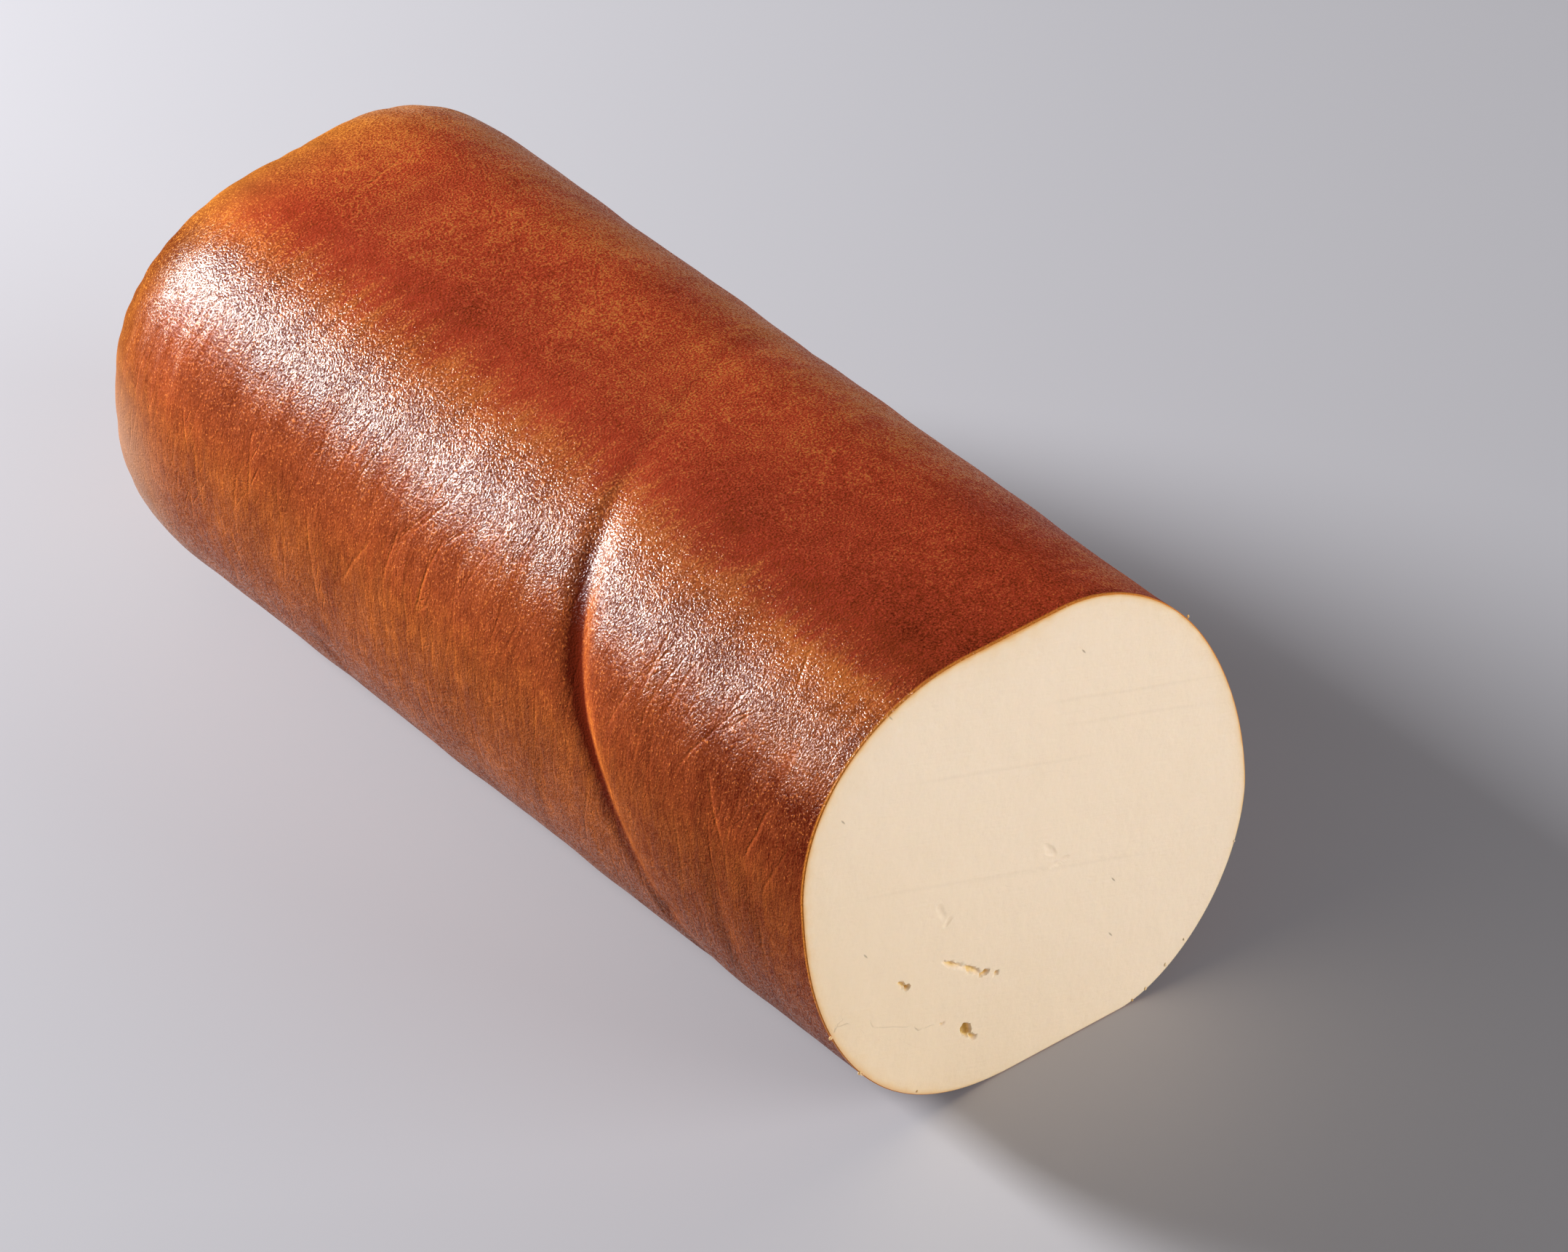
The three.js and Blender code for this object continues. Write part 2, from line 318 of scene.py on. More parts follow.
# Openings in the cut face, by their middle, size, depth and slope: a furrow that ends in a nick, a hole, a
# crater with a ragged edge, and two shallow torn patches. A low soft gives steep walls. The mesh is made
# finer round each opening before it is pressed in.
FACE_PITS = [
    {"middle": (-20.3, 31.6), "long": 7.4, "wide": 1.5, "deep": 0.8, "slope": -34, "soft": 1.0},
    {"middle": (-15.7, 28.0), "long": 6.4, "wide": 1.5, "deep": 0.9, "slope": -42, "soft": 1.0},
    {"middle": (-12.6, 25.7), "long": 3.2, "wide": 1.3, "deep": 1.2, "slope": 10, "soft": 0.8},
    {"middle": (-9.6, 24.2), "long": 2.0, "wide": 1.0, "deep": 0.8, "slope": 20, "soft": 0.9},
    {"middle": (-33.0, 33.0), "long": 3.6, "wide": 0.8, "deep": 0.9, "slope": -53, "soft": 0.8},
    {"middle": (-32.0, 31.7), "long": 1.6, "wide": 1.2, "deep": 1.3, "slope": 0, "soft": 0.6},
    {"middle": (-17.8, 14.6), "long": 4.2, "wide": 2.4, "deep": 1.7, "slope": -64, "soft": 0.5},
    {"middle": (-16.3, 12.2), "long": 2.4, "wide": 1.3, "deep": 1.0, "slope": -30, "soft": 0.8},
    {"middle": (-23.8, 19.0), "long": 1.2, "wide": 0.6, "deep": 0.7, "slope": -30, "soft": 0.8},
    {"middle": (5.2, 46.2), "long": 5.0, "wide": 2.2, "deep": 0.22, "slope": -60, "soft": 1.0},
    {"middle": (7.4, 42.4), "long": 5.2, "wide": 1.4, "deep": 0.25, "slope": 5, "soft": 0.8},
    {"middle": (-22.4, 45.0), "long": 4.6, "wide": 1.8, "deep": 0.22, "slope": -65, "soft": 0.8},
    {"middle": (-21.0, 42.0), "long": 2.6, "wide": 1.2, "deep": 0.25, "slope": 30, "soft": 0.8},
]
PIT_MARGIN = 1.6
PIT_CUTS = 3
PIT_RAGGED, RAGS_PER_MM, RAGGED_LAYERS = 0.45, 0.9, (2.7, 9.4)
# What lies nearer than this to the plane of the cut belongs to the cut face
ON_CUT = 0.1


def in_pit(pit, across, up, margin=0.0):
    """Distance from the middle of a pit as a share of its size: below 1 lies inside."""
    slope = math.radians(pit["slope"])
    off_across, off_up = across - pit["middle"][0], up - pit["middle"][1]
    along = off_across * math.cos(slope) + off_up * math.sin(slope)
    aside = off_up * math.cos(slope) - off_across * math.sin(slope)
    return math.hypot(along / (pit["long"] / 2 + margin), aside / (pit["wide"] / 2 + margin))


def before_cut(point):
    """Distance of a point from the plane of the cut, in millimetres, negative inside the log."""
    off_x, off_up = point[0] - CUT_MIDDLE.x, point[2] - CUT_MIDDLE.z
    return (off_x * math.cos(CUT_LEAN) + off_up * math.sin(CUT_LEAN)) / MM


bpy.ops.mesh.select_mode(type="FACE")
bpy.ops.mesh.select_all(action="DESELECT")
shell = bmesh.from_edit_mesh(log.data)
for face in shell.faces:
    middle = face.calc_center_median()
    if abs(before_cut(middle)) < ON_CUT:
        face.select = any(in_pit(pit, middle.y / MM, middle.z / MM, PIT_MARGIN) < 1 for pit in FACE_PITS)
bmesh.update_edit_mesh(log.data)
bpy.ops.mesh.subdivide(number_cuts=PIT_CUTS)
bpy.ops.mesh.select_all(action="SELECT")
bpy.ops.mesh.normals_make_consistent(inside=False)
bpy.ops.object.mode_set(mode="OBJECT")

log_points = np.array([v.co for v in log.data.vertices])
from_cut = before_cut(log_points.T)
on_face = np.abs(from_cut) < ON_CUT
faces_on_cut = [all(on_face[v] for v in polygon.vertices) for polygon in log.data.polygons]
flat_points = log_points / MM
pit_mask = np.zeros(len(log_points))
cut_outward = np.array([math.cos(CUT_LEAN), 0, math.sin(CUT_LEAN)])
for number in np.nonzero(on_face)[0]:
    across, up = flat_points[number, 1:]
    rags = [PIT_RAGGED * noise.noise(Vector((layer, across, up)) * RAGS_PER_MM) for layer in RAGGED_LAYERS]
    depth = 0
    for pit in FACE_PITS:
        share = in_pit(pit, across + rags[0], up + rags[1])
        if share < 1:
            depth = max(depth, pit["deep"] * (1 - share * share) ** pit["soft"])
    pit_mask[number] = min(depth, 1)
    log_points[number] -= cut_outward * depth * MM

# The log is moved to the middle of its frame
SHARP_EDGE = math.radians(35)
low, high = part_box("cheese_log")
log_middle = (log_points.min(0) + log_points.max(0)) / 2
shift = np.array([(low.x + high.x) / 2 - log_middle[0], (low.y + high.y) / 2 - log_middle[1], 0])
log.data.vertices.foreach_set("co", (log_points + shift).ravel())
bpy.ops.object.shade_smooth_by_angle(angle=SHARP_EDGE)

# Measures that the finishes follow: how far in from the rim the smoke has stained the paste, where the string
# pressed, which darkens the crease with painted shade and lightens the lip behind it with painted light, how
# deep a pit is, and where the skin has come off the lower right of the rim. The stain's widths are at degrees
# round the rim, from the right side up over the top.
STAIN_WIDTHS = [
    (0, 0.6), (40, 0.6), (75, 0.8), (84, 1.2), (100, 1.2), (110, 0.9), (150, 0.9), (190, 1.0), (215, 1.2),
    (240, 1.0), (252, 0.4), (265, 0.2), (300, 0.2), (330, 0.25), (345, 0.5), (360, 0.6),
]
STAIN_UNEVEN, STAIN_LUMPS_PER_MM = 0.45, 0.4
BARE_FROM, BARE_TO, BARE_FADE, BARE_WIDTH = 312, 328, 3, 1.8
RIM_STEPS = 6
edge_loop = np.concatenate([skin_points[0][:, 1:], skin_points[0][:1, 1:]])
rim_places = kdtree.KDTree(POINTS_ROUND * RIM_STEPS)
for spot in range(POINTS_ROUND):
    for step in range(RIM_STEPS):
        across, up = edge_loop[spot] + (edge_loop[spot + 1] - edge_loop[spot]) * step / RIM_STEPS
        rim_places.insert((0, across, up), spot * RIM_STEPS + step)
rim_places.balance()

round_degrees = np.degrees(np.arctan2(flat_points[:, 2] - MID_HEIGHT, flat_points[:, 1])) % 360
stain_width = np.interp(round_degrees, [w[0] for w in STAIN_WIDTHS], [w[1] for w in STAIN_WIDTHS])
rim_measure = from_cut.copy()
for number in np.nonzero(on_face)[0]:
    across, up = flat_points[number, 1:]
    uneven = 1 + STAIN_UNEVEN * noise.noise(Vector((0, across, up)) * STAIN_LUMPS_PER_MM)
    rim_measure[number] = rim_places.find((0, across, up))[2] / (stain_width[number] * uneven)
skin_round = np.radians(round_degrees)
round_order = np.argsort(spot_round)
crease_here = np.interp(skin_round, spot_round[round_order], crease_x[round_order], period=2 * math.pi)
depth_here = np.interp(skin_round, spot_round[round_order], crease_depth[round_order], period=2 * math.pi)
from_crease = flat_points[:, 0] - crease_here
# The lip's mask lightens the skin just behind the crease: painted light where the swelling faces the lamp
LIT_LIP_OUT, LIT_LIP_WIDTH = 3.4, 2.6
# The valley's mask darkens the crease in the skin's colour: partly smoke caught there, partly painted shade
SHADE_FAR_SHARE, SHADE_CUT_SHARE, SHADE_POWER = 0.6, 0.35, 2.2
shade_width = np.where(from_crease < 0, SHADE_FAR_SHARE * VALLEY_FAR_WIDEST, SHADE_CUT_SHARE * VALLEY_CUT_WIDTH)
string_press = (depth_here - VALLEY_DEPTH) / VALLEY_DEEPEST
crease_shade_and_wear_mask = string_press**SHADE_POWER * bell(from_crease, shade_width)
lip_light_mask = string_press * bell(from_crease - LIT_LIP_OUT, LIT_LIP_WIDTH)
bare_mask = smoothstep(round_degrees, BARE_FROM - BARE_FADE, BARE_FROM)
bare_mask *= 1 - smoothstep(round_degrees, BARE_TO, BARE_TO + BARE_FADE)
bare_mask *= smoothstep(from_cut, -BARE_WIDTH, -0.3 * BARE_WIDTH)

# Thin lines on the surface, kept as two measures: how many half widths a point lies beside the nearest line,
# and how strong that line is there. A line bends a little on its way and fades out at both ends.
LINE_BENDS = 4
LINE_REACH, LINE_FADE = 1.8, 2.7
NO_LINE = 8.0
line_draw = np.random.default_rng(11)


def drawn_lines(lines, along, aside, bend):
    beside = np.full(len(along), NO_LINE)
    strength_here = np.zeros(len(along))
    nearest = np.full(len(along), LINE_FADE)
    for start, end, half_width, strength in lines:
        path = np.linspace(start, end, LINE_BENDS + 1)
        path[1:-1] += line_draw.uniform(-bend, bend, (LINE_BENDS - 1, 2))
        low_end, high_end = path.min(0) - LINE_FADE, path.max(0) + LINE_FADE
        within = (along > low_end[0]) & (along < high_end[0]) & (aside > low_end[1]) & (aside < high_end[1])
        close = np.nonzero(within)[0]
        for bend_number in range(LINE_BENDS):
            here, there = path[bend_number], path[bend_number + 1]
            reach = there - here
            off = np.stack([along[close], aside[close]], 1) - here
            share = np.clip(off @ reach / (reach @ reach), 0, 1)
            gap = np.linalg.norm(off - share[:, None] * reach, axis=1)
            side = np.sign(reach[0] * off[:, 1] - reach[1] * off[:, 0])
            won = gap < nearest[close]
            rows = close[won]
            run = (bend_number + share[won]) / LINE_BENDS
            nearest[rows] = gap[won]
            beside[rows] = (gap * side)[won] / half_width
            fade_at_ends = np.clip(6 * run * (1 - run), 0, 1)
            fade_aside = 1 - smoothstep(gap[won], LINE_REACH, LINE_FADE)
            strength_here[rows] = strength * fade_at_ends * fade_aside
    return beside, strength_here


# Wrinkles and scratches, listed one by one: each end by its x and its degrees from the top, half width,
# strength
WRINKLES = [
    ((4.5, 58), (-0.2, 80), 0.35, 0.9), ((8.2, 56), (5.2, 60), 0.3, 1.0),
    ((4.3, 73), (-0.4, 80), 0.35, 0.7), ((-7.9, 62), (-9.9, 77), 0.4, 0.8),
    ((-2.0, 56), (-9.2, 68), 0.35, 0.7), ((1.2, 52), (-6.2, 66), 0.35, 0.7),
    ((-35, 71), (-34, 99), 0.45, 0.7), ((-54.9, 63), (-54.6, 82), 0.45, 0.7),
    ((-29.9, 87), (-28.8, 99), 0.35, 0.5), ((-14.5, 68), (-24.6, 85), 0.4, 0.6),
    ((-27, 49), (-29.5, 61), 0.35, 0.6),
    ((81.3, 70), (91.8, 47), 0.35, 0.7), ((89.4, 57), (92.7, 51), 0.35, 1.0),
    ((89.2, 64), (97.6, 78), 0.45, 1.0), ((107.9, 62), (103.2, 77), 0.4, 0.9),
    ((115.6, 66), (108.3, 83), 0.35, 0.5), ((68.4, 46), (66.2, 59), 0.35, 0.6),
    ((93.3, 33), (97.8, 42), 0.35, 0.6), ((66.5, 53), (60.6, 72), 0.4, 0.6),
    ((70, 56), (69.6, 68), 0.35, 0.5), ((-97, 58.5), (-52, 56), 0.35, 0.4),
    ((74, 54.7), (118, 53.4), 0.3, 0.35), ((-76.9, 71), (-75.2, 82), 0.35, 0.6),
    ((-83.4, -7), (-79.4, 7), 0.35, 0.4),
]
# Finer wrinkles that run round both sides, one or none in each cell of a grid
WRINKLE_CELL_X, WRINKLE_CELL_TURN, WRINKLE_CHANCE = 4.6, 14, 0.62
scattered_wrinkles = []
for cell_x in np.arange(-104, 116, WRINKLE_CELL_X):
    for cell_turn in np.arange(54, 124, WRINKLE_CELL_TURN):
        for side in (1, -1):
            x = cell_x + line_draw.uniform(-0.8, 0.8)
            turn = side * (cell_turn + line_draw.uniform(-6, 6))
            half_length = line_draw.uniform(4, 12)
            lean = line_draw.uniform(-0.30, 0.22)
            strength = line_draw.uniform(0.3, 0.9)
            if line_draw.uniform() < WRINKLE_CHANCE:
                start = (x - lean * half_length, turn - half_length)
                end = (x + lean * half_length, turn + half_length)
                scattered_wrinkles.append((start, end, line_draw.uniform(0.28, 0.45), strength))


def unrolled(lines):
    """Turns the degrees of each end into millimetres round the log."""
    to_mm = np.array([1, MM_PER_DEGREE])
    return [(start * to_mm, end * to_mm, half_width, strength) for start, end, half_width, strength in lines]


# A crack at the lower left of the cut face, and long scores from the knife, by their ends across and up
CRACK = [
    ((-50.3, 30.4), (-49.8, 31.8), 0.9), ((-50.2, 31.5), (-46.4, 30.5), 0.7),
    ((-41.5, 28.4), (-40.7, 26.4), 0.4), ((-41, 26.8), (-30.6, 21.8), 0.35),
    ((-31.4, 22.4), (-29.2, 20.2), 0.8), ((-28, 20.2), (-26.4, 19.9), 0.6),
]
KNIFE_SCORES = [
    ((2.5, 81.1), (51.1, 65.8)), ((-30, 78), (20, 62)), ((-44, 58), (10, 41)), ((-20, 50), (34, 32)),
    ((8, 74), (50, 60)),
]
CRACK_HALF_WIDTH, SCORE_HALF_WIDTH, SCORE_STRENGTH = 0.16, 0.4, 0.15
face_lines = [(start, end, CRACK_HALF_WIDTH, strength) for start, end, strength in CRACK]
face_lines += [(start, end, SCORE_HALF_WIDTH, SCORE_STRENGTH) for start, end in KNIFE_SCORES]

around = np.degrees(np.arctan2(-flat_points[:, 1], flat_points[:, 2] - MID_HEIGHT)) * MM_PER_DEGREE
moved_x = flat_points[:, 0] + shift[0] / MM
wrinkle_beside, wrinkle_strength = drawn_lines(unrolled(WRINKLES), moved_x, around, 0.35)
crinkle_beside, crinkle_strength = drawn_lines(unrolled(scattered_wrinkles), moved_x, around, 0.45)
score_beside, score_strength = drawn_lines(face_lines, flat_points[:, 1], flat_points[:, 2], 0.25)
measures = {
    "rim": rim_measure, "valley": crease_shade_and_wear_mask, "lip_light": lip_light_mask, "pit": pit_mask, "bare": bare_mask,
    "wrinkle_beside": wrinkle_beside, "wrinkle_strength": wrinkle_strength,
    "crinkle_beside": crinkle_beside, "crinkle_strength": crinkle_strength,
    "score_beside": score_beside, "score_strength": score_strength,
}
for name, values in measures.items():
    attribute = log.data.attributes.new(name, "FLOAT", "POINT")
    attribute.data.foreach_set("value", values.astype(np.float32))


def add_node(tree, kind, inputs=None, **settings):
    made = tree.nodes.new("ShaderNode" + kind)
    for name, value in settings.items():
        setattr(made, name, value)
    for socket, value in (inputs or {}).items():
        if isinstance(value, bpy.types.NodeSocket):
            tree.links.new(value, made.inputs[socket])
        else:
            made.inputs[socket].default_value = value
    return made


def math_node(tree, operation, a, b=0.0, c=0.0, clamp=False):
    return add_node(tree, "Math", {0: a, 1: b, 2: c}, operation=operation, use_clamp=clamp).outputs[0]


def product_node(tree, product, *factors):
    for factor in factors:
        product = math_node(tree, "MULTIPLY", product, factor)
    return product


def rest_node(tree, share):
    return math_node(tree, "SUBTRACT", 1.0, share, clamp=True)


def range_node(tree, value, low, high, low_to=0.0, high_to=1.0):
    """Goes smoothly from low_to to high_to while the value goes from low to high."""
    limits = {0: value, 1: low, 2: high, 3: low_to, 4: high_to}
    return add_node(tree, "MapRange", limits, interpolation_type="SMOOTHSTEP").outputs[0]


def band_node(tree, value, start, full_from, full_to, end):
    """1 between full_from and full_to, falling to 0 at start and end."""
    growth = range_node(tree, value, start, full_from)
    return product_node(tree, growth, range_node(tree, value, end, full_to))


def weighted_sum(tree, start, fields):
    """Adds each field, less its middle value, times its weight."""
    total = start
    for field, weight, middle in fields:
        total = math_node(tree, "MULTIPLY_ADD", math_node(tree, "SUBTRACT", field, middle), weight, total)
    return total


def ramp_node(tree, value, stops):
    made = add_node(tree, "ValToRGB", {"Fac": value})
    elements = made.color_ramp.elements
    while len(elements) < len(stops):
        elements.new(0.5)
    for element, (position, colour) in zip(elements, stops):
        element.position = position
        element.color = (*colour, 1)
    return made.outputs[0]


def round_log_node(tree, degrees, stops):
    """A value that follows the turn round the log, from pairs of degrees from the top and value."""
    share = math_node(tree, "MULTIPLY_ADD", degrees, 1 / 360, 0.5)
    return ramp_node(tree, share, [(turn / 360 + 0.5, (value, value, value)) for turn, value in stops])


def mix_colour(tree, share, first, second, blend="MIX"):
    made = add_node(tree, "Mix", {0: share, 6: first, 7: second}, data_type="RGBA", blend_type=blend)
    return made.outputs[2]


def measure_node(tree, name):
    return add_node(tree, "Attribute", attribute_name=name).outputs["Fac"]


def place_node(tree):
    """The place on the log in millimetres."""
    made = add_node(tree, "TexCoord").outputs["Object"]
    return add_node(tree, "VectorMath", {0: made, "Scale": 1 / MM}, operation="SCALE").outputs[0]


def effect_group(name, inputs, output):
    """A new node group, with its input sockets and the socket that takes its result."""
    group = bpy.data.node_groups.new(name, "ShaderNodeTree")
    for socket, kind in inputs.items():
        group.interface.new_socket(socket, in_out="INPUT", socket_type="NodeSocket" + kind)
    group.interface.new_socket(output, in_out="OUTPUT", socket_type="NodeSocketFloat")
    result = group.nodes.new("NodeGroupOutput").inputs[output]
    return group, group.nodes.new("NodeGroupInput").outputs, result


# Grain and thin lines are effects that the skin and the paste share, so each is a node group, built once
grain, given, grain_result = effect_group(
    "grain",
    {
        "Place": "Vector", "Lumps per mm": "Vector",
        "Detail": "Float", "Roughness": "Float", "Distortion": "Float",
    },
    "Grain",
)
spread = add_node(grain, "VectorMath", {0: given["Place"], 1: given["Lumps per mm"]}, operation="MULTIPLY")
grain_noise = add_node(grain, "TexNoise", {
    "Vector": spread.outputs[0],
    "Scale": 1.0,
    "Detail": given["Detail"],
    "Roughness": given["Roughness"],
    "Distortion": given["Distortion"],
})
grain.links.new(grain_noise.outputs[0], grain_result)

thin_line, given, line_result = effect_group("thin_line", {"Beside": "Float", "Strength": "Float"}, "Line")
beside_squared = product_node(thin_line, given["Beside"], given["Beside"])
line_profile = math_node(thin_line, "EXPONENT", product_node(thin_line, beside_squared, -1.0))
thin_line.links.new(product_node(thin_line, line_profile, given["Strength"]), line_result)


def grain_field(tree, where, size, detail=2.0, stretch=(1, 1, 1), roughness=0.5, distortion=0.0):
    """Grain from 0 to 1 whose lumps are about size millimetres, drawn out by stretch."""
    return add_node(tree, "Group", {
        "Place": where,
        "Lumps per mm": tuple(1 / (size * drawn_out) for drawn_out in stretch),
        "Detail": detail,
        "Roughness": roughness,
        "Distortion": distortion,
    }, node_tree=grain).outputs["Grain"]


def line_node(tree, name):
    """The lines kept under a name, as a mask that is 1 along the middle of a full-strength line."""
    kept = {side: measure_node(tree, f"{name}_{side.lower()}") for side in ("Beside", "Strength")}
    return add_node(tree, "Group", kept, node_tree=thin_line).outputs["Line"]


# The smoked skin: a thin brown leathery layer, darkest where the smoke settled on the upper left side, with
# streaks that run down the sides and fine wrinkles from the casing. Beside the sheen its grain carries golden
# flecks, which are painted glints, and over the rounded end it runs into one even finish. Turns are degrees
# left from the top.
smoked_skin = bpy.data.materials.new("smoked_skin_finish")
smoked_skin.use_nodes = True
skin = smoked_skin.node_tree
skin_shader = skin.nodes["Principled BSDF"]
place = place_node(skin)
axes = add_node(skin, "SeparateXYZ", {0: place}).outputs
along = axes[0]
rise = math_node(skin, "SUBTRACT", axes[2], MID_HEIGHT)
turn = math_node(skin, "ARCTAN2", product_node(skin, axes[1], -1.0), rise)
turn_degrees = product_node(skin, turn, 180 / math.pi)

BARREL_RADIUS, END_RADIUS = 45, 25
SIDE_FROM, SIDE_FULL = 50, 70
across_squared = product_node(skin, axes[1], axes[1])
off_axis = math_node(skin, "SQRT", math_node(skin, "MULTIPLY_ADD", rise, rise, across_squared))
over_end = range_node(skin, off_axis, BARREL_RADIUS, END_RADIUS)
on_barrel = rest_node(skin, over_end)
on_side = range_node(skin, math_node(skin, "ABSOLUTE", turn_degrees), SIDE_FROM, SIDE_FULL)
on_side = math_node(skin, "MAXIMUM", on_side, over_end)


def even_over_end(value, end_value):
    """The value on the barrel, running into one even value over the rounded end."""
    past_end_value = math_node(skin, "SUBTRACT", value, end_value)
    return math_node(skin, "MULTIPLY_ADD", past_end_value, on_barrel, end_value)


blotches = grain_field(skin, place, 24, detail=3)
mottle = grain_field(skin, place, 4.5, detail=4, roughness=0.6)
leather = grain_field(skin, place, 0.46)
streaks = grain_field(skin, place, 2.6, detail=4, stretch=(1, 11, 11), roughness=0.6, distortion=0.25)
fibres = grain_field(skin, place, 0.5, stretch=(1, 6, 6), distortion=0.3)
leather_swing, streak_swing, fibre_swing = (
    math_node(skin, "SUBTRACT", field, 0.5) for field in (leather, streaks, fibres)
)
# valley darkens the crease with painted shade, partly smoke, and wears the coat off there
valley = measure_node(skin, "valley")
# The lip measure lightens the lip in the colour: painted light
lip_light = measure_node(skin, "lip_light")
bare = measure_node(skin, "bare")
to_edge = measure_node(skin, "rim")
by_edge = range_node(skin, to_edge, -4.0, -1.0)
cut_edge_glow = range_node(skin, to_edge, -0.8, -0.3)
# The wrinkle lines are also drawn lighter in the colour: partly painted light, for what their raised edges
# catch
PLACED_STRENGTH = 1.8
placed_wrinkles = product_node(skin, line_node(skin, "wrinkle"), PLACED_STRENGTH)
wrinkles = math_node(skin, "ADD", placed_wrinkles, line_node(skin, "crinkle"))

# How much smoke has settled, with painted shade, light and sheen mixed in: 0 is the palest golden brown and 1
# the darkest. Its borders are ragged, because the streaks shift them, and the leather grain is calmer on the
# sides, in the sheen and above it.
# In this table the pale dip round 34 degrees, just above the sheen, and the pale band from -46 to -34
# degrees, by the upper right edge, are painted sheen
SMOKE_AND_SHEEN_ROUND_LOG = [
    (-180, 0.45), (-120, 0.43), (-90, 0.41), (-62, 0.33), (-46, 0.13), (-34, 0.07), (-22, 0.33), (5, 0.36),
    (16, 0.43), (22, 0.46), (28, 0.38), (34, 0.27), (38, 0.34), (42, 0.52), (48, 0.66), (55, 0.50),
    (62, 0.56), (69, 0.53), (76, 0.45), (86, 0.44), (98, 0.43), (130, 0.44), (180, 0.45),
]
END_SMOKE = 0.42
RAGGED_DEGREES = 26
SHEEN_TURN = (35, 42, 52, 60)
FRINGE_TURN = (16, 24, 33, 40)
# Patches with more or less smoke: where each starts, is full, is last full and ends, as turns and then
# along X, and the smoke that it adds. Values past the ends of the log carry a patch on to the end.
SMOKE_PATCHES = [
    ((52, 60, 72, 84), (76, 112, 130, 140), 0.10),
    ((54, 62, 78, 90), (44, 60, 130, 140), -0.08),
    # This patch lightens the skin under the sheen towards the cut: painted golden sheen rather than less
    # smoke
    ((28, 35, 52, 60), (20, 116, 130, 140), -0.34),
    ((14, 22, 50, 58), (-100, -84, -44, 0), 0.06),
]
FAR_PATCHES = [
    ((0, 8, 18, 26), (-140, -130, -102, -78), -0.08),
    ((30, 38, 54, 64), (-140, -130, -102, -78), 0.12),
]
ragged_turn = math_node(skin, "MULTIPLY_ADD", streak_swing, RAGGED_DEGREES, turn_degrees)
smoke_and_sheen_round = even_over_end(round_log_node(skin, ragged_turn, SMOKE_AND_SHEEN_ROUND_LOG), END_SMOKE)
far_end = range_node(skin, along, -60.0, -116.0)
near_cut = range_node(skin, along, 20.0, 116.0)
far_side = product_node(skin, on_side, range_node(skin, along, 40.0, -60.0))
sheen_grain = product_node(skin, band_node(skin, turn_degrees, *SHEEN_TURN), on_barrel, leather_swing)
fringe_grain = product_node(skin, band_node(skin, turn_degrees, *FRINGE_TURN), on_barrel, leather_swing)
smoke_and_light_fields = [
    (blotches, 0.45, 0.5), (mottle, 0.5, 0.5), (leather, -1.7, 0.5),
    (product_node(skin, on_side, leather_swing), 1.0, 0), (sheen_grain, 0.3, 0), (fringe_grain, 0.9, 0),
    (product_node(skin, on_side, fibre_swing), -0.7, 0), (product_node(skin, on_side, streak_swing), 0.45, 0),
    (valley, 1.3, 0), (lip_light, -0.35, 0), (wrinkles, -0.12, 0), (by_edge, 0.10, 0),
    (near_cut, 0.22, 0), (far_side, 0.07, 0), (far_end, -0.02, 0),
]
for patches, kept_to in ((SMOKE_PATCHES, 1.0), (FAR_PATCHES, on_barrel)):
    for turns, reach, added in patches:
        round_log, along_log = band_node(skin, turn_degrees, *turns), band_node(skin, along, *reach)
        smoke_and_light_fields.append((product_node(skin, round_log, along_log, kept_to), added, 0))
smoke_and_painted_light = weighted_sum(skin, smoke_and_sheen_round, smoke_and_light_fields)

# Golden flecks on the highest grain beside the sheen: painted glints, specks of light put into the colour
# round the highlight
GLINTS_ROUND_LOG = [
    (-180, 0.0), (17, 0.0), (24, 0.26), (29, 0.62), (34, 0.85), (40, 0.75), (48, 0.45), (55, 0.65),
    (62, 0.45), (70, 0.3), (80, 0.15), (90, 0.0), (180, 0.0),
]
GLINTS_BY_END, GLINTS_BY_CUT = 0.7, 0.72
GLINT_LIFT, GLINT_FROM, GLINT_FULL = 0.2, 0.68, 0.79
glint_chance = product_node(
    skin,
    round_log_node(skin, ragged_turn, GLINTS_ROUND_LOG),
    range_node(skin, along, -104.0, -80.0, GLINTS_BY_END, 1.0),
    range_node(skin, along, 30.0, 105.0, 1.0, GLINTS_BY_CUT),
    on_barrel,
)
lifted_grain = math_node(skin, "MULTIPLY_ADD", glint_chance, GLINT_LIFT, leather)
painted_glint_flecks = product_node(
    skin,
    range_node(skin, lifted_grain, GLINT_FROM, GLINT_FULL),
    range_node(skin, glint_chance, 0.0, 0.25),
    range_node(skin, valley, 0.3, 0.0),
)

# The tones: redder on the top and browner on the sides, duller round the far rim, and below it a pale tan
# that is a painted reflection of the floor; golden along the cut edge, partly painted glow, and bare where
# the skin came off
TOP_TONES = [
    (0.0, (0.56, 0.175, 0.036)), (0.2, (0.465, 0.100, 0.025)), (0.32, (0.41, 0.056, 0.0195)),
    (0.5, (0.33, 0.036, 0.014)), (0.7, (0.24, 0.034, 0.009)), (1.0, (0.11, 0.012, 0.004)),
]
SIDE_TONES = [
    (0.0, (0.58, 0.16, 0.030)), (0.2, (0.42, 0.106, 0.020)), (0.4, (0.29, 0.071, 0.0155)),
    (0.7, (0.19, 0.040, 0.0115)), (1.0, (0.10, 0.012, 0.004)),
]
BROWN_ROUND_LOG = [
    (-180, 1.0), (-90, 1.0), (-62, 0.7), (-30, 0.1), (-15, 0.0), (20, 0.0), (28, 0.15), (35, 0.75),
    (42, 0.95), (50, 1.0), (60, 0.72), (70, 0.7), (80, 0.95), (90, 1.0), (180, 1.0),
]
